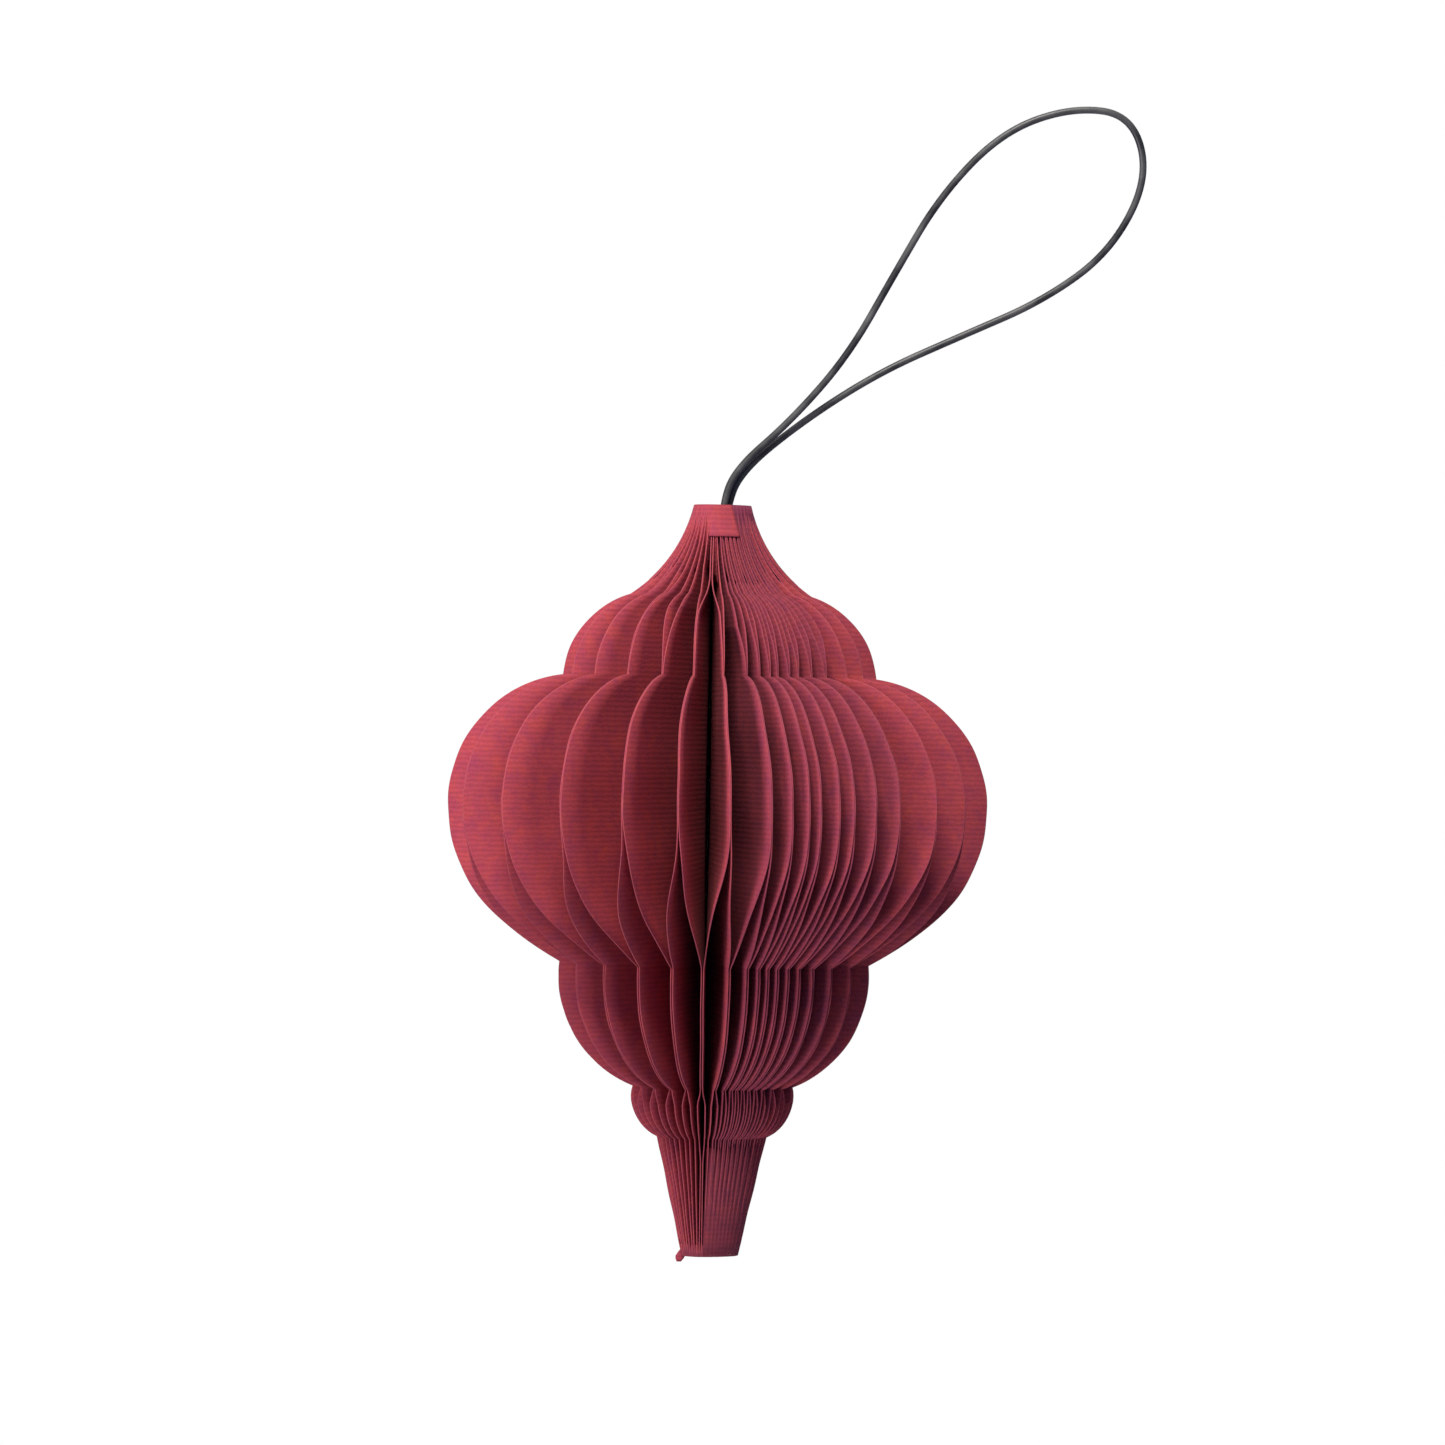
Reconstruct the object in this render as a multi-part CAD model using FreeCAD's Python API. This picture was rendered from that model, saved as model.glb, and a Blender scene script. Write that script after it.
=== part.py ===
import FreeCAD, Part
import math
import os

# Accordion paper lantern on a cord loop. All sizes in millimetres.
# +Z up the lantern's axis, -Y towards the front, origin where the cord leaves the neck.

# ---- driving dimensions -------------------------------------------------
SHEET = 0.200          # thickness of one paper sheet
GLUE_GAP = 0.01        # between the two sheets of a leaf
PITCH = 0.47           # leaf to leaf along the spine, measured with the book closed
FIRST_LEAF_DEG = -85.6  # direction of leaf 1, just right of the seam

# Angles between neighbouring leaves from leaf 1 round to the back, in degrees.
# The second half turn repeats them, so the spine closes on itself.
GAPS_DEG = [8.5, 4, 3.2, 2, 3.8, 3, 5, 6, 11.5, 12, 25, 24, 17.5, 17.2, 14.6, 11.9, 10.8]

# Outline of the lantern as (radius, height). Each tuple is a start, middle and end of an arc,
# and the tail is a straight line.
NECK_FLARE = [(3.9, 0.0), (6.5, -6.3), (12.6, -12.6)]
UPPER_BULGE = [(12.6, -12.6), (19.1, -17.0), (21.9, -24.0)]
BELLY_TOP = [(21.9, -24.0), (33.19, -30.02), (37.7, -42.0)]
BELLY_BOTTOM = [(37.7, -42.0), (35.71, -50.98), (30.11, -58.28)]
BELLY_FOOT = [(30.11, -58.28), (26.13, -61.32), (21.9, -64.0)]
LOWER_BULGE = [(21.9, -64.0), (19.6, -74.2), (11.2, -81.3)]
RING = [(11.2, -81.3), (10.6, -85.6), (7.6, -88.4)]
TAIL_END = (3.85, -105.0)

# The leaf outline is measured from the spine as it lies at the lantern's two sides.
SPINE_SIDE_R = 3.06

# Closing tab: a strip of the same paper glued across the edge of the last leaf. It laps to the
# right over the seam at the neck, and its free end is cut slanting. Its reach is measured out
# from the spine, and left and right are measured from the middle of the last leaf.
TAB_TOP = -0.3
TAB_BOTTOM = -4.6
TAB_SHEET = 0.20
TAB_REACH_TOP = 0.911
TAB_REACH_BOTTOM = 2.490
TAB_LEFT = -0.65
TAB_RIGHT_TOP = 3.0
TAB_RIGHT_BOTTOM = 4.0

# Hanging cord and the knot that holds its two ends inside the neck
CORD_D = 1.0
KNOT_R = 1.5
KNOT_TOP = -4.5
KNOT_H = 3.6
# Route of the cord from the knot, up the first strand, round the loop and down the second
CORD_ROUTE = [
    (-0.1, -0.66, -4.5),
    (-0.1, -0.66, -0.3),
    (1.6, -0.66, 5.0),
    (9.3, -0.8, 11.9),
    (17.2, -1.3, 21.2),
    (23.4, -1.9, 32.6),
    (29.6, -2.4, 43.6),
    (38.0, -2.6, 52.6),
    (47.5, -2.2, 56.3),
    (56.2, -1.2, 55.6),
    (58.9, 0.2, 47.0),
    (53.8, 1.4, 36.6),
    (44.5, 2.1, 29.6),
    (33.0, 2.2, 24.4),
    (21.8, 1.6, 19.2),
    (11.2, 0.9, 12.2),
    (2.6, 0.66, 5.0),
    (0.5, 0.66, -0.3),
    (0.5, 0.66, -4.5),
]

LEAVES = 2 * len(GAPS_DEG)
FIXED_LEAF = 12
LEAF_HALF = SHEET + GLUE_GAP / 2.0


def leaf_angles():
    """Direction of every leaf, in radians, counter-clockwise seen from above."""
    angles = []
    angle = FIRST_LEAF_DEG
    for gap in GAPS_DEG + GAPS_DEG:
        angles.append(math.radians(angle))
        angle += gap
    return angles


def spine_pivots(angles):
    """Corners of the spine: pivot k lies between leaf k and leaf k + 1, centred on the axis."""
    x, y = 0.0, 0.0
    corners = []
    for a in angles:
        x -= PITCH * math.sin(a)
        y += PITCH * math.cos(a)
        corners.append((x, y))
    cx = sum(c[0] for c in corners) / len(corners)
    cy = sum(c[1] for c in corners) / len(corners)
    return [(c[0] - cx, c[1] - cy) for c in corners]


def section_point(p):
    return FreeCAD.Vector(p[0] - SPINE_SIDE_R, 0, p[1])


def arc(points):
    a, b, c = [section_point(p) for p in points]
    return Part.Arc(a, b, c).toShape()


def leaf_face():
    """Half outline of the lantern, from the spine edge out, in the XZ plane."""
    arcs = (NECK_FLARE, UPPER_BULGE, BELLY_TOP, BELLY_BOTTOM, BELLY_FOOT, LOWER_BULGE, RING)
    outer = [arc(p) for p in arcs]
    ring_foot = section_point(RING[2])
    tip = section_point(TAIL_END)
    foot = FreeCAD.Vector(0, 0, TAIL_END[1])
    top = FreeCAD.Vector(0, 0, 0)
    outer.append(Part.makeLine(ring_foot, tip))
    outer.append(Part.makeLine(tip, foot))
    outer.append(Part.makeLine(foot, top))
    outer.append(Part.makeLine(top, section_point(NECK_FLARE[0])))
    return Part.Face(Part.Wire(outer))


def leaf(face, angle, spine_mid):
    """Two sheets glued face to face, standing on one side of the spine."""
    sheets = []
    for start in (-LEAF_HALF, GLUE_GAP / 2.0):
        sheet = face.copy()
        sheet.translate(FreeCAD.Vector(0, start, 0))
        sheets.append(sheet.extrude(FreeCAD.Vector(0, SHEET, 0)))
    pair = Part.makeCompound(sheets)
    pair.rotate(FreeCAD.Vector(0, 0, 0), FreeCAD.Vector(0, 0, 1), math.degrees(angle))
    pair.translate(FreeCAD.Vector(spine_mid[0], spine_mid[1], 0))
    return pair


def closing_tab(angle, spine_mid):
    """Flat strip across the neck, touching the last leaf's outer edge at its top and bottom."""
    points = [
        FreeCAD.Vector(TAB_REACH_TOP, TAB_LEFT, TAB_TOP),
        FreeCAD.Vector(TAB_REACH_TOP, TAB_RIGHT_TOP, TAB_TOP),
        FreeCAD.Vector(TAB_REACH_BOTTOM, TAB_RIGHT_BOTTOM, TAB_BOTTOM),
        FreeCAD.Vector(TAB_REACH_BOTTOM, TAB_LEFT, TAB_BOTTOM),
    ]
    strip = Part.Face(Part.makePolygon(points + points[:1]))
    strip = strip.extrude(FreeCAD.Vector(TAB_SHEET, 0, 0))
    strip.rotate(FreeCAD.Vector(0, 0, 0), FreeCAD.Vector(0, 0, 1), math.degrees(angle))
    strip.translate(FreeCAD.Vector(spine_mid[0], spine_mid[1], 0))
    return strip


def rounded_route(points):
    """Straight runs joined by tangent arcs, as one wire. Prints the arc radii."""
    pts = [FreeCAD.Vector(*p) for p in points]
    edges = []
    radii = []
    last = pts[0]
    for before, here, after in zip(pts, pts[1:], pts[2:]):
        back = before - here
        ahead = after - here
        turn = math.pi - back.getAngle(ahead)
        shorter = min(back.Length, ahead.Length)
        cut = 0.45 * shorter
        radius = cut / math.tan(turn / 2.0)
        radii.append(radius)
        back.normalize()
        ahead.normalize()
        start = here + back * cut
        end = here + ahead * cut
        inwards = back + ahead
        inwards.normalize()
        centre = here + inwards * (radius / math.cos(turn / 2.0))
        middle = centre - inwards * radius
        edges.append(Part.LineSegment(last, start).toShape())
        edges.append(Part.Arc(start, middle, end).toShape())
        last = end
    edges.append(Part.LineSegment(last, pts[-1]).toShape())
    print("cord arc radii", [round(r, 1) for r in radii])
    return Part.Wire(edges)


def hanging_cord():
    wire = rounded_route(CORD_ROUTE)
    start = FreeCAD.Vector(*CORD_ROUTE[0])
    ahead = FreeCAD.Vector(*CORD_ROUTE[1]) - start
    ring = Part.Wire(Part.makeCircle(CORD_D / 2.0, start, ahead))
    tube = wire.makePipeShell([ring], True, False)
    section = math.pi * CORD_D ** 2 / 4.0
    print("cord length", round(wire.Length, 2))
    print("tube volume over section x length", round(tube.Volume / (section * wire.Length), 4))
    return tube


def cord_knot(spine_mid):
    """Barrel-shaped lump with a short tail that is glued to the fixed leaf's spine edge."""
    barrel = Part.makeCylinder(KNOT_R, KNOT_H, FreeCAD.Vector(0, 0, KNOT_TOP - KNOT_H))
    rim = [e for e in barrel.Edges if isinstance(e.Curve, Part.Circle)]
    barrel = barrel.makeFillet(0.5, rim)
    reach = math.hypot(spine_mid[0], spine_mid[1])
    tail = Part.makeBox(reach - 0.5, 0.4, 1.6)
    tail.translate(FreeCAD.Vector(0.5, -0.2, KNOT_TOP - KNOT_H + 1.0))
    heading = math.degrees(math.atan2(spine_mid[1], spine_mid[0]))
    tail.rotate(FreeCAD.Vector(0, 0, 0), FreeCAD.Vector(0, 0, 1), heading)
    return barrel.fuse(tail).removeSplitter()


os.makedirs("parts", exist_ok=True)
angles = leaf_angles()
pivots = spine_pivots(angles)
mids = []
for k in range(LEAVES):
    mids.append(((pivots[k - 1][0] + pivots[k][0]) / 2.0, (pivots[k - 1][1] + pivots[k][1]) / 2.0))

face = leaf_face()
for k in range(LEAVES):
    leaf(face, angles[k], mids[k]).exportStep("parts/paper_leaf_%02d.step" % (k + 1))

closing_tab(angles[-1], mids[-1]).exportStep("parts/closing_tab.step")
hanging_cord().exportStep("parts/hanging_cord.step")
cord_knot(mids[FIXED_LEAF - 1]).exportStep("parts/cord_knot.step")
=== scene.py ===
import math
import random

import bpy
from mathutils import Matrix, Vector


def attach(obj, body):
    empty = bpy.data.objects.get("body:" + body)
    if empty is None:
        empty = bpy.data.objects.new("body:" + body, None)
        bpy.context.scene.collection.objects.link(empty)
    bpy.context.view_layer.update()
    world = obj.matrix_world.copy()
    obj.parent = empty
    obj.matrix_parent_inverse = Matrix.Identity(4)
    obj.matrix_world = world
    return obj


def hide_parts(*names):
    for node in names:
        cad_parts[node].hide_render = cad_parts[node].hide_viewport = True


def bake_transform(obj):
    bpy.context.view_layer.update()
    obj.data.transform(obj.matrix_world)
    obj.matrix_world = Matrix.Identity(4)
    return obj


# Accordion paper lantern. Metres; millimetres are turned into metres by MM.
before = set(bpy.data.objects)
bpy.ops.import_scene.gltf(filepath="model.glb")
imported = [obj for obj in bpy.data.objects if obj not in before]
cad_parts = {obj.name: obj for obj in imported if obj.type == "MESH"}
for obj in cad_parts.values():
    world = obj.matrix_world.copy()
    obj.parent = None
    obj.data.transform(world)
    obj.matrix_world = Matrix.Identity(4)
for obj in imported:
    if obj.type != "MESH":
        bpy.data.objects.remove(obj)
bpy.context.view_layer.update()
MM = 0.001

# ---- camera ---------------------------------------------------------------
FIELD = 202.3 * MM      # width of the frame at the lantern
LENS = 135.0
ROLL = math.radians(1.0)
distance = LENS / 36.0 * FIELD
camera_data = bpy.data.cameras.new("camera")
camera_data.lens = LENS
camera_data.sensor_width = 36.0
camera_data.clip_start = 0.01
camera_data.clip_end = 20.0
camera = bpy.data.objects.new("camera", camera_data)
bpy.context.scene.collection.objects.link(camera)
camera.location = (0.5 * MM, -distance, -30.4 * MM)
camera.rotation_mode = "XYZ"
camera.rotation_euler = (math.radians(90), -ROLL, 0)
bpy.context.scene.camera = camera

# ---- sizes shared with the CAD source ---------------------------------------
GLUE_GAP = 0.01
PITCH = 0.47
FIRST_LEAF_DEG = -85.6
GAPS_DEG = [8.5, 4, 3.2, 2, 3.8, 3, 5, 6, 11.5, 12, 25, 24, 17.5, 17.2, 14.6, 11.9, 10.8]
SPINE_SIDE_R = 3.06
LEAVES = 34
ARCS = [
    [(3.9, 0.0), (6.5, -6.3), (12.6, -12.6)],
    [(12.6, -12.6), (19.1, -17.0), (21.9, -24.0)],
    [(21.9, -24.0), (33.19, -30.02), (37.7, -42.0)],
    [(37.7, -42.0), (35.71, -50.98), (30.11, -58.28)],
    [(30.11, -58.28), (26.13, -61.32), (21.9, -64.0)],
    [(21.9, -64.0), (19.6, -74.2), (11.2, -81.3)],
    [(11.2, -81.3), (10.6, -85.6), (7.6, -88.4)],
]
TAIL_END = (3.85, -105.0)
THIN = 0.15             # a sheet as it looks at its cut edge
SPLIT = -44.0           # where each leaf's two sheets part on their way down
LOWER_WAIST = -64.0
RING_TOP = -81.3
RING_FOOT = -88.4
CORD_D = 1.0
CORD_ROUTE = [
    (-0.1, -0.66, -4.5),
    (-0.1, -0.66, -0.3),
    (1.6, -0.66, 5.0),
    (9.3, -0.8, 11.9),
    (17.2, -1.3, 21.2),
    (23.4, -1.9, 32.6),
    (29.6, -2.4, 43.6),
    (38.0, -2.6, 52.6),
    (47.5, -2.2, 56.3),
    (56.2, -1.2, 55.6),
    (58.9, 0.2, 47.0),
    (53.8, 1.4, 36.6),
    (44.5, 2.1, 29.6),
    (33.0, 2.2, 24.4),
    (21.8, 1.6, 19.2),
    (11.2, 0.9, 12.2),
    (2.6, 0.66, 5.0),
    (0.5, 0.66, -0.3),
    (0.5, 0.66, -4.5),
]


# ---- materials ----------------------------------------------------------------
def node(tree, kind, **values):
    made = tree.nodes.new(kind)
    for name, value in values.items():
        setattr(made, name, value)
    return made


def new_material(name, roughness, specular):
    mat = bpy.data.materials.new(name)
    mat.use_nodes = True
    shader = mat.node_tree.nodes["Principled BSDF"]
    shader.inputs["Roughness"].default_value = roughness
    shader.inputs["Specular IOR Level"].default_value = specular
    return mat, mat.node_tree, shader


def paper_material(name, light, dark, ribs):
    """Matt dyed cotton paper: laid ribs across it, long fibres, and a mottled dye.
    UVs are in centimetres."""
    mat, tree, shader = new_material(name, 0.85, 0.45)
    link = tree.links.new
    uv = node(tree, "ShaderNodeTexCoord")
    stretch = node(tree, "ShaderNodeMapping")
    stretch.inputs["Scale"].default_value = (40.0, 6.0, 1.0)
    link(uv.outputs["UV"], stretch.inputs["Vector"])
    fibres = node(tree, "ShaderNodeTexNoise")
    fibres.inputs["Scale"].default_value = 1.6
    fibres.inputs["Detail"].default_value = 5.0
    fibres.inputs["Roughness"].default_value = 0.65
    link(stretch.outputs["Vector"], fibres.inputs["Vector"])
    mottle = node(tree, "ShaderNodeTexNoise")
    mottle.inputs["Scale"].default_value = 3.4
    mottle.inputs["Detail"].default_value = 7.0
    mottle.inputs["Roughness"].default_value = 0.72
    link(uv.outputs["UV"], mottle.inputs["Vector"])
    laid = node(tree, "ShaderNodeTexWave", wave_type="BANDS", bands_direction="Y", wave_profile="SIN")
    laid.inputs["Scale"].default_value = 4.6
    laid.inputs["Distortion"].default_value = 2.4
    laid.inputs["Detail"].default_value = 2.0
    laid.inputs["Detail Scale"].default_value = 2.0
    link(uv.outputs["UV"], laid.inputs["Vector"])
    grain = node(tree, "ShaderNodeTexNoise")
    grain.inputs["Scale"].default_value = 90.0
    grain.inputs["Detail"].default_value = 3.0
    link(uv.outputs["UV"], grain.inputs["Vector"])

    def mixed(a, b, share, kind="MIX"):
        mix = node(tree, "ShaderNodeMix", data_type="RGBA", blend_type=kind)
        mix.inputs[0].default_value = share
        for value, socket in ((a, mix.inputs[6]), (b, mix.inputs[7])):
            if isinstance(value, tuple):
                socket.default_value = value
            else:
                link(value, socket)
        return mix

    ramp = node(tree, "ShaderNodeValToRGB")
    ramp.color_ramp.elements[0].position = 0.32
    ramp.color_ramp.elements[0].color = dark
    ramp.color_ramp.elements[1].position = 0.68
    ramp.color_ramp.elements[1].color = light
    link(mottle.outputs["Fac"], ramp.inputs["Fac"])
    with_ribs = mixed(ramp.outputs["Color"], laid.outputs["Color"], ribs, "SOFT_LIGHT")
    with_fibres = mixed(with_ribs.outputs[2], fibres.outputs["Color"], 0.45, "SOFT_LIGHT")
    with_grain = mixed(with_fibres.outputs[2], grain.outputs["Color"], 0.25, "SOFT_LIGHT")
    link(with_grain.outputs[2], shader.inputs["Base Color"])
    height = node(tree, "ShaderNodeMath", operation="ADD")
    link(laid.outputs["Fac"], height.inputs[0])
    link(fibres.outputs["Fac"], height.inputs[1])
    bump = node(tree, "ShaderNodeBump")
    bump.inputs["Strength"].default_value = 0.18
    bump.inputs["Distance"].default_value = 0.06 * MM
    link(height.outputs["Value"], bump.inputs["Height"])
    link(bump.outputs["Normal"], shader.inputs["Normal"])
    return mat


def cord_material():
    """Waxed charcoal cord: fine grain along it, and worn, slightly paler wax."""
    mat, tree, shader = new_material("waxed_cord", 0.42, 0.5)
    link = tree.links.new
    place = node(tree, "ShaderNodeTexCoord")
    grain = node(tree, "ShaderNodeTexNoise")
    grain.inputs["Scale"].default_value = 1500.0
    grain.inputs["Detail"].default_value = 4.0
    link(place.outputs["Object"], grain.inputs["Vector"])
    wear = node(tree, "ShaderNodeTexNoise")
    wear.inputs["Scale"].default_value = 220.0
    wear.inputs["Detail"].default_value = 3.0
    link(place.outputs["Object"], wear.inputs["Vector"])
    ramp = node(tree, "ShaderNodeValToRGB")
    ramp.color_ramp.elements[0].position = 0.35
    ramp.color_ramp.elements[0].color = (0.020, 0.021, 0.019, 1)
    ramp.color_ramp.elements[1].position = 0.7
    ramp.color_ramp.elements[1].color = (0.085, 0.086, 0.078, 1)
    link(wear.outputs["Fac"], ramp.inputs["Fac"])
    link(ramp.outputs["Color"], shader.inputs["Base Color"])
    gloss = node(tree, "ShaderNodeMapRange")
    gloss.inputs["To Min"].default_value = 0.33
    gloss.inputs["To Max"].default_value = 0.55
    link(wear.outputs["Fac"], gloss.inputs["Value"])
    link(gloss.outputs["Result"], shader.inputs["Roughness"])
    bump = node(tree, "ShaderNodeBump")
    bump.inputs["Strength"].default_value = 0.4
    bump.inputs["Distance"].default_value = 0.05 * MM
    link(grain.outputs["Fac"], bump.inputs["Height"])
    link(bump.outputs["Normal"], shader.inputs["Normal"])
    return mat


# One paper in four tones, and a rim tone. The rim tone, on the sheets' cut edges, is lighter and pinker:
# partly the cut paper's own, partly painted highlight. The darker three paper tones, and the darker rim
# tone beside them, are painted shade: they stand in for shade on the right side, on the neck and on the
# tail's matted folds, that the lights don't give. The paper itself is one colour.
PAPER = paper_material("laid_paper", (0.40, 0.045, 0.046, 1), (0.28, 0.029, 0.062, 1), 0.14)
# rim tone: lighter and pinker than the paper, partly the cut paper's own and partly painted highlight
EDGE = paper_material("cut_paper_edge", (0.42, 0.066, 0.064, 1), (0.31, 0.043, 0.074, 1), 0.0)
# painted shade for the neck's rims on the front right
SHADE = paper_material("laid_paper_painted_shade", (0.21, 0.022, 0.048, 1), (0.14, 0.015, 0.048, 1), 0.1)
# painted shade, paper and rim, for the narrow cells on the right side
PAINTED_HALF_SHADE = paper_material("laid_paper_painted_half_shade", (0.32, 0.037, 0.047, 1), (0.22, 0.024, 0.058, 1), 0.14)
PAINTED_HALF_SHADE_EDGE = paper_material("cut_paper_edge_painted_half_shade", (0.32, 0.048, 0.056, 1), (0.23, 0.032, 0.062, 1), 0.0)
# painted shade for the tail's rims
PAINTED_TAIL_SHADE = paper_material("laid_paper_painted_tail_shade", (0.235, 0.026, 0.033, 1), (0.155, 0.017, 0.036, 1), 0.1)
CORD = cord_material()

# ---- cord ---------------------------------------------------------------------
cord_data = bpy.data.curves.new("cord_loop", "CURVE")
cord_data.dimensions = "3D"
spline = cord_data.splines.new("NURBS")
spline.points.add(len(CORD_ROUTE) - 1)
for point, place in zip(spline.points, CORD_ROUTE):
    point.co = (place[0] * MM, place[1] * MM, place[2] * MM, 1.0)
spline.order_u = 3
spline.use_endpoint_u = True
cord_data.resolution_u = 12
cord_data.bevel_depth = CORD_D / 2 * MM
cord_data.bevel_resolution = 5
cord = bpy.data.objects.new("cord_loop", cord_data)
bpy.context.scene.collection.objects.link(cord)
cord_data.materials.append(CORD)
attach(cord, "leaf_12")
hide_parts("hanging_cord")


# ---- outline of the leaves --------------------------------------------------------
def circle_through(a, b, c):
    ax, ay = a
    bx, by = b
    cx, cy = c
    d = 2 * (ax * (by - cy) + bx * (cy - ay) + cx * (ay - by))
    ux = ((ax**2 + ay**2) * (by - cy) + (bx**2 + by**2) * (cy - ay) + (cx**2 + cy**2) * (ay - by)) / d
    uy = ((ax**2 + ay**2) * (cx - bx) + (bx**2 + by**2) * (ax - cx) + (cx**2 + cy**2) * (bx - ax)) / d
    return (ux, uy), math.hypot(ax - ux, ay - uy)


def arc_points(a, b, c, step):
    """Points along the arc from a through b to c, ends included."""
    (ux, uy), r = circle_through(a, b, c)
    start = math.atan2(a[1] - uy, a[0] - ux)
    mid = math.atan2(b[1] - uy, b[0] - ux)
    end = math.atan2(c[1] - uy, c[0] - ux)
    turn = (end - start) % (2 * math.pi)
    if (mid - start) % (2 * math.pi) > turn:
        turn -= 2 * math.pi
    count = max(4, int(abs(turn) * r / step))
    return [
        (ux + r * math.cos(start + turn * i / count), uy + r * math.sin(start + turn * i / count))
        for i in range(count + 1)
    ]


def outline(step=0.7):
    """(radius, height) down the whole outline, heights strictly falling."""
    points = [ARCS[0][0]]
    for a, b, c in ARCS:
        points += arc_points(a, b, c, step)[1:]
    foot = points[-1]
    steps = 20
    for i in range(1, steps + 1):
        t = i / steps
        points.append((foot[0] + (TAIL_END[0] - foot[0]) * t, foot[1] + (TAIL_END[1] - foot[1]) * t))
    return points


OUTLINE = outline()


def rows_between(top, bottom):
    """Outline points from height top to height bottom, both included."""
    return [p for p in OUTLINE if bottom - 1e-6 <= p[1] <= top + 1e-6]


def near_outline(z):
    """The outline height closest to z."""
    return min((p[1] for p in OUTLINE), key=lambda h: abs(h - z))


RING_EVEN = near_outline(-83.4)      # below this the sheets stand evenly spaced

# ---- spine ------------------------------------------------------------------------
ANGLES = []
turned = FIRST_LEAF_DEG
for gap in GAPS_DEG + GAPS_DEG:
    ANGLES.append(math.radians(turned))
    turned += gap
PIVOTS = []
px, py = 0.0, 0.0
for a in ANGLES:
    px -= PITCH * math.sin(a)
    py += PITCH * math.cos(a)
    PIVOTS.append((px, py))
cx = sum(p[0] for p in PIVOTS) / LEAVES
cy = sum(p[1] for p in PIVOTS) / LEAVES
PIVOTS = [(p[0] - cx, p[1] - cy) for p in PIVOTS]


def smooth(t):
    t = min(1.0, max(0.0, t))
    return t * t * (3 - 2 * t)


def wave(z):
    """Slow waviness shared by all the leaves, so that they still stack flat."""
    return math.radians(0.30 * math.sin(z / 3.9 + 0.6) + 0.16 * math.sin(z / 2.1) + 0.2 * math.sin(z / 9.0))


def slab(rows, pivot, angle, turn, v_in, v_out, ends, seed):
    """One paper sheet between two heights: a thin slab with a soft outer rim.
    turn(z) is how far the sheet is swung about the pivot, v_in to v_out its thickness beside it."""
    phase = random.Random(seed).uniform(0, 6.28)
    verts, faces, uvs, kinds = [], [], [], []
    fractions = [0.0, 0.1, 0.35, 0.65, 0.85, 1.0]
    rim = 0.05
    width = len(fractions)
    for radius, z in rows:
        out = radius - SPINE_SIDE_R + 0.04 * math.sin(z * 0.9 + phase)
        a = angle + turn(z) + wave(z)
        ca, sa = math.cos(a), math.sin(a)
        loop = [(out * s, v_in) for s in fractions]
        loop += [(out + rim, (v_in + v_out) / 2)]
        loop += [(out * s, v_out) for s in reversed(fractions)]
        # at the spine the sheet reaches the hinge line, where it is glued to its neighbour
        if abs(v_in) < abs(v_out):
            loop[0] = (0.0, 0.0)
        else:
            loop[-1] = (0.0, 0.0)
        for u, v in loop:
            verts.append(((pivot[0] + u * ca - v * sa) * MM, (pivot[1] + u * sa + v * ca) * MM, z * MM))
            uvs.append((u * 0.1 + seed * 0.37, z * 0.1 + seed * 0.11))
    n = 2 * width + 1
    for r in range(len(rows) - 1):
        for c in range(n):
            d = (c + 1) % n
            faces.append((r * n + c, r * n + d, (r + 1) * n + d, (r + 1) * n + c))
            kinds.append(1 if c in (width - 1, width) else 0)
    for r, wanted in ((0, ends[0]), (len(rows) - 1, ends[1])):
        if wanted:
            for c in range(width - 1):
                quad = (r * n + c, r * n + c + 1, r * n + n - 2 - c, r * n + n - 1 - c)
                faces.append(quad if r == 0 else quad[::-1])
                kinds.append(1)
            tip = (r * n + width - 1, r * n + width, r * n + width + 1)
            faces.append(tip if r == 0 else tip[::-1])
            kinds.append(1)
    return verts, faces, uvs, kinds


def make_piece(name, parts, papers=(PAPER, EDGE)):
    """Joins slabs into one mesh object with paper on its faces and cut edge on its rims."""
    verts, faces, uvs, kinds = [], [], [], []
    for v, f, t, k in parts:
        faces += [tuple(i + len(verts) for i in one) for one in f]
        verts += v
        uvs += t
        kinds += k
    mesh = bpy.data.meshes.new(name)
    mesh.from_pydata(verts, [], faces)
    for paper in papers:
        mesh.materials.append(paper)
    mesh.polygons.foreach_set("material_index", kinds)
    layer = mesh.uv_layers.new(name="UVMap")
    for corner in mesh.loops:
        layer.data[corner.index].uv = uvs[corner.vertex_index]
    mesh.polygons.foreach_set("use_smooth", [True] * len(faces))
    mesh.update()
    obj = bpy.data.objects.new(name, mesh)
    bpy.context.scene.collection.objects.link(obj)
    return obj


def body(k):
    return "leaf_%02d" % (k + 1)


GAP_RAD = [math.radians(g) for g in GAPS_DEG + GAPS_DEG]
INNER = GLUE_GAP / 2
OUTER = GLUE_GAP / 2 + THIN
EVEN = 0.3264            # smooth(EVEN) is a quarter: sheets evenly spaced
rng = random.Random(4)


# Per leaf: where its sheets start to lean below the belly's widest part, the shoulder height above
# which they lean to their neighbours, and the run in which that lean comes on
splits = [near_outline(SPLIT + rng.uniform(-1.6, 1.6)) for _ in range(LEAVES)]
shoulders, runs = [], []
for k in range(LEAVES):
    narrow = min(GAPS_DEG[k % 17], GAPS_DEG[(k - 1) % 17]) <= 8.5 and k not in (0, 17)
    if narrow:
        shoulders.append(near_outline(-25.0 + rng.uniform(-0.8, 1.2)))
        runs.append(rng.uniform(5.0, 8.0))
    else:
        shoulders.append(near_outline(-14.5 + rng.uniform(-2.2, 2.6)))
        runs.append(rng.uniform(6.5, 9.0))
shoulders[32] = near_outline(-24.0)
runs[32] = 9.5
shoulders[0] = near_outline(-24.5)
runs[0] = 12.0


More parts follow.
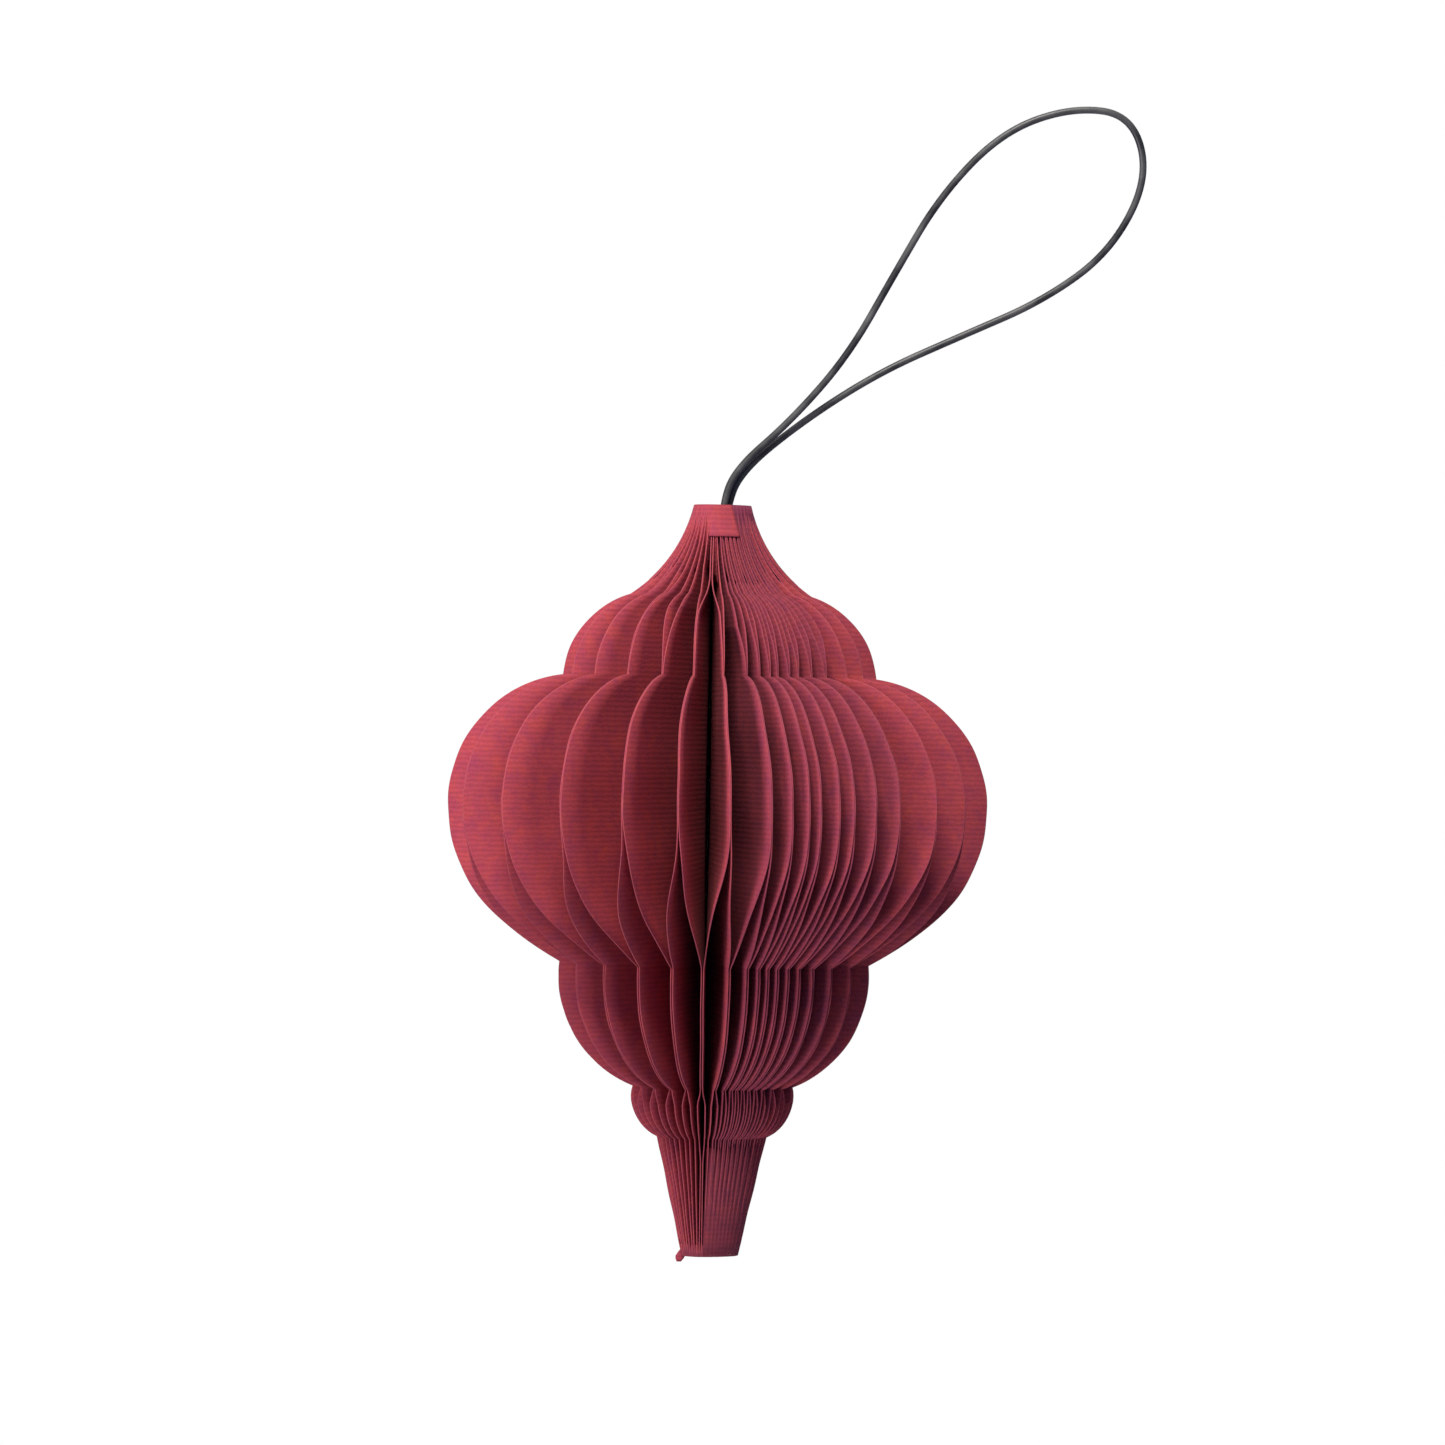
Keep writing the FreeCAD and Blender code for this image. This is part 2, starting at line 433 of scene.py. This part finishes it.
def cover_share(z):
    """How far the two cover sheets lean to each other: shut at neck, waist and tail, ajar at the ring."""
    if z > SPLIT:
        return 0.5 * smooth((z + 16.0) / 6.0)
    if z > LOWER_WAIST:
        return smooth((z - SPLIT) / (2 * LOWER_WAIST - 2 * SPLIT))
    if z > RING_TOP:
        return 0.5
    if z > RING_FOOT:
        return 0.25 + 0.25 * smooth((z - RING_EVEN) / (RING_TOP - RING_EVEN))
    return 0.5 - 0.25 * smooth((z - RING_FOOT + 3.6) / 3.6)


def make_sheet(k, side):
    """Both ends of one sheet lean towards the neighbouring leaf; its pieces bend with the fold."""
    tag = "paper_leaf_%02d_%s" % (k + 1, "right" if side > 0 else "left")
    other = k + side
    seed = 2 * k + (side > 0)
    cell = (k if side > 0 else k - 1) % LEAVES
    pivot = PIVOTS[cell]
    v_a = side * (INNER - PITCH / 2)
    v_b = side * (OUTER - PITCH / 2)
    v_in, v_out = min(v_a, v_b), max(v_a, v_b)
    lean = side * GAP_RAD[cell]
    if not 0 <= other < LEAVES:
        # the cover sheets on the seam keep their own bends
        shape = slab(OUTLINE, pivot, ANGLES[k], lambda z: lean * cover_share(z),
                     v_in, v_out, (True, True), seed)
        cover = make_piece(tag + "_cover", [shape])
        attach(cover, body(k))
        if side > 0:
            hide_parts("paper_leaf_%02d" % (k + 1))
        return
    shoulder = shoulders[k]
    evened = near_outline(shoulder + runs[k])
    wide = (evened - shoulder) / EVEN
    ring = (RING_TOP - RING_EVEN) / (0.5 - EVEN)
    split = splits[k]
    # leaves 2 to 9, in the narrow cells on the right side, take a darker paper and rim: painted shade
    papers = (PAINTED_HALF_SHADE, PAINTED_HALF_SHADE_EDGE) if 1 <= k <= 8 else (PAPER, EDGE)
    # name, top, bottom, heights where the lean starts and ends
    spans = [
        ("neck", 0.0, evened, None, EVEN),
        ("shoulder", evened, shoulder, shoulder, shoulder + wide),
        ("belly", shoulder, LOWER_WAIST, split, 2 * LOWER_WAIST - split),
        ("lower", LOWER_WAIST, RING_TOP, None, 0.5),
        ("ring", RING_TOP, RING_EVEN, RING_TOP - ring / 2, RING_TOP + ring / 2),
        ("tail", RING_EVEN, TAIL_END[1], None, EVEN),
    ]
    for part, top, bottom, low, high in spans:
        if low is None:
            # a steady share of the lean all along the span
            low, high = -1e6 * high, 1e6 * (1 - high)
        name = tag + "_" + part
        ends = (part == "neck", part == "tail")
        shape = slab(rows_between(top, bottom), pivot, ANGLES[k],
                     lambda z: lean * smooth((z - low) / (high - low)), v_in, v_out, ends, seed)
        piece = make_piece(name, [shape], papers)
        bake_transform(piece)
        if side > 0 and part == "belly":
            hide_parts("paper_leaf_%02d" % (k + 1))


for k in range(LEAVES):
    make_sheet(k, 1)
    make_sheet(k, -1)


# ---- pressed rims at the neck and the tail's tip, and the closing tab ---------------
def outline_radius(z):
    for (ra, za), (rb, zb) in zip(OUTLINE, OUTLINE[1:]):
        if zb <= z <= za:
            return ra + (rb - ra) * (z - za) / (zb - za)
    return OUTLINE[0][0]


def rim(k, z, lift):
    """Point on leaf k's outer edge at height z, lifted outwards."""
    x = (PIVOTS[k - 1][0] + PIVOTS[k][0]) / 2
    y = (PIVOTS[k - 1][1] + PIVOTS[k][1]) / 2
    u = outline_radius(z) - SPINE_SIDE_R + lift
    return x + u * math.cos(ANGLES[k]), y + u * math.sin(ANGLES[k])


def shell(name, outer, inner, sides=True):
    """Thin shell between two grids of points in millimetres."""
    rows, cols = len(outer), len(outer[0])
    flat = [p for grid in (outer, inner) for row in grid for p in row]
    verts = [(x * MM, y * MM, z * MM) for x, y, z in flat]
    uvs = [((i % cols) * 0.02 + x * 0.1, z * 0.1) for i, (x, y, z) in enumerate(flat)]
    back = rows * cols
    faces, kinds = [], []
    for i in range(rows - 1):
        for j in range(cols - 1):
            a, b, c, d = i * cols + j, i * cols + j + 1, (i + 1) * cols + j + 1, (i + 1) * cols + j
            faces += [(a, d, c, b), (a + back, b + back, c + back, d + back)]
            kinds += [0, 0]
    borders = [list(range(cols)), [(rows - 1) * cols + j for j in reversed(range(cols))]]
    if sides:
        borders.append([i * cols + cols - 1 for i in range(rows)])
        borders.append([i * cols for i in reversed(range(rows))])
    for border in borders:
        for a, b in zip(border, border[1:]):
            faces.append((a, b, b + back, a + back))
            kinds.append(1)
    return make_piece(name, [(verts, faces, uvs, kinds)])


RIM_LIFT = 0.11          # the rims stand this far outside the leaves' edges
RIM_THICK = 0.06
RIM_ROWS = 8


def pressed_rim(name, k, end, inner, valley, paper, part=(0.0, 1.0)):
    """Matted paper that bridges the edges of leaves k and k + 1. It sinks into a valley between
    them away from the lantern's end. part is the share of the way across that it covers."""
    after = (k + 1) % LEAVES
    half_way = ANGLES[k] + GAP_RAD[k] / 2
    outwards = (math.cos(half_way), math.sin(half_way))
    grids = []
    for depth in (0.0, RIM_THICK):
        grid = []
        for i in range(RIM_ROWS + 1):
            z = end + (inner - end) * i / RIM_ROWS
            a = rim(k, z, RIM_LIFT - depth)
            b = rim(after, z, RIM_LIFT - depth)
            sink = 0.02 + valley * (i / RIM_ROWS) ** 2.4
            sink = min(sink, 0.75 * (outline_radius(z) - SPINE_SIDE_R))
            row = []
            for j in range(5):
                t = part[0] + (part[1] - part[0]) * j / 4
                dip = 4 * t * (1 - t) * sink
                x = a[0] + (b[0] - a[0]) * t - dip * outwards[0]
                y = a[1] + (b[1] - a[1]) * t - dip * outwards[1]
                row.append((x, y, z))
            grid.append(row)
        grids.append(grid)
    piece = shell(name, grids[0], grids[1], sides=False)
    piece.data.materials[0] = paper
    if part != (0.0, 1.0):
        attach(piece, body(k if part[0] == 0.0 else after))
        return
    a = rim(k, inner, 0.0)
    b = rim(after, inner, 0.0)
    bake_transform(piece)


for k in range(LEAVES):
    # on the seam each cover carries its own half
    for part in ([(0.0, 1.0)] if k < LEAVES - 1 else [(0.0, 0.5), (0.5, 1.0)]):
        tag = "%02d_%d" % (k + 1, part[0] * 2)
        # the neck's rims on the front right take the darker paper: painted shade
        paper = SHADE if 4 <= k <= 11 else PAPER
        pressed_rim("neck_rim_" + tag, k, 0.0, -10.0 + rng.uniform(-1.2, 1.2), 4.6, paper, part)
        # the narrow folds of the tail are matted together all the way up
        narrow = k <= 9 or 17 <= k <= 26
        inner = (-89.4 if narrow else -103.0) + rng.uniform(-0.4, 0.4)
        # every tail rim takes the darker tail paper: painted shade on the tail
        pressed_rim("tail_rim_" + tag, k, -105.0, inner, 0.5, PAINTED_TAIL_SHADE, part)


def front(x, z, lift):
    """Depth of the lantern's front surface at x, read between the leaves' edges."""
    edges = sorted(rim(k, z, lift) for k in range(LEAVES) if math.sin(ANGLES[k]) < -0.2)
    for (xa, ya), (xb, yb) in zip(edges, edges[1:]):
        if xa <= x <= xb:
            return ya + (yb - ya) * (x - xa) / (xb - xa)
    return edges[0][1] if x < edges[0][0] else edges[-1][1]


TAB_LEFT = -1.8
TAB_LIFT = 0.22          # it lies on the pressed rims
TAB_THICK = 0.07
TAB_ROWS = 12
TAB_COLUMNS = 14
tab_outer, tab_inner = [], []
for i in range(TAB_ROWS + 1):
    z = -0.1 - 4.4 * i / TAB_ROWS
    right = 1.25 + 1.25 * i / TAB_ROWS
    columns = [TAB_LEFT + (right - TAB_LEFT) * j / TAB_COLUMNS for j in range(TAB_COLUMNS + 1)]
    tab_outer.append([(x, front(x, z, TAB_LIFT), z) for x in columns])
    tab_inner.append([(x, y + TAB_THICK, z) for x, y, z in tab_outer[-1]])
tab = shell("closing_tab_strip", tab_outer, tab_inner)
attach(tab, body(LEAVES - 1))
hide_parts("closing_tab")

# ---- frayed scrap of paper at the tail's foot, in the plane of the leaf that points left ---
# each row: x at its right and left ends, and its height
SCRAP = [
    (-3.3, -4.0, -104.0),
    (-3.3, -4.4, -104.5),
    (-3.4, -4.75, -105.0),
    (-3.6, -4.8, -105.4),
    (-4.0, -4.6, -105.9),
]
grids = []
for y in (-0.62, -0.50):
    grid = []
    for i, (a, b, z) in enumerate(SCRAP):
        grid.append([(a + (b - a) * j / 3, y - 0.02 * i * j / 6, z) for j in range(4)])
    grids.append(grid)
scrap = shell("tail_scrap", grids[0], grids[1])
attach(scrap, "leaf_29")

# ---- knot: the CAD solid, with the cord's material -----------------------------------
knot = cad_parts["cord_knot"]
knot.data.materials.clear()
knot.data.materials.append(CORD)

# ---- floor, light, background ----------------------------------------------------------
FLOOR_R = 0.9
FLOOR_Z = -0.90
FLOOR_CORNERS = 96
floor_mesh = bpy.data.meshes.new("floor")
turns = [2 * math.pi * i / FLOOR_CORNERS for i in range(FLOOR_CORNERS)]
ring = [(FLOOR_R * math.cos(a), FLOOR_R * math.sin(a), FLOOR_Z) for a in turns]
floor_mesh.from_pydata(ring, [], [tuple(range(FLOOR_CORNERS))])
floor = bpy.data.objects.new("floor", floor_mesh)
bpy.context.scene.collection.objects.link(floor)
floor_mat, _, floor_shader = new_material("floor_pale", 0.8, 0.2)
floor_shader.inputs["Base Color"].default_value = (0.92, 0.92, 0.92, 1)
floor_mesh.materials.append(floor_mat)


def soft_light(name, place, size, power, colour):
    data = bpy.data.lights.new(name, "AREA")
    data.shape = "SQUARE"
    data.size = size
    data.energy = power
    data.color = colour
    lamp = bpy.data.objects.new(name, data)
    bpy.context.scene.collection.objects.link(lamp)
    lamp.location = place
    aim = Vector((0, 0, -0.045)) - Vector(place)
    lamp.rotation_mode = "QUATERNION"
    lamp.rotation_quaternion = aim.to_track_quat("-Z", "Y")


soft_light("key", (-0.10, -0.60, 0.84), 0.40, 15.0, (1.0, 0.95, 0.90))
soft_light("fill", (-0.60, -0.60, -0.22), 0.5, 5.6, (0.98, 0.90, 1.0))
soft_light("back", (0.10, 0.80, 0.50), 0.8, 4.0, (1.0, 0.97, 0.95))

world = bpy.data.worlds.new("studio")
bpy.context.scene.world = world
world.use_nodes = True
tree = world.node_tree
tree.nodes.clear()
rays = node(tree, "ShaderNodeLightPath")
dim = node(tree, "ShaderNodeBackground")
dim.inputs["Color"].default_value = (0.48, 0.56, 1.0, 1)
dim.inputs["Strength"].default_value = 0.30
white = node(tree, "ShaderNodeBackground")
white.inputs["Color"].default_value = (1, 1, 1, 1)
white.inputs["Strength"].default_value = 1.0
mix = node(tree, "ShaderNodeMixShader")
out = node(tree, "ShaderNodeOutputWorld")
tree.links.new(rays.outputs["Is Camera Ray"], mix.inputs[0])
tree.links.new(dim.outputs[0], mix.inputs[1])
tree.links.new(white.outputs[0], mix.inputs[2])
tree.links.new(mix.outputs[0], out.inputs["Surface"])
bpy.context.scene.view_settings.view_transform = "Standard"
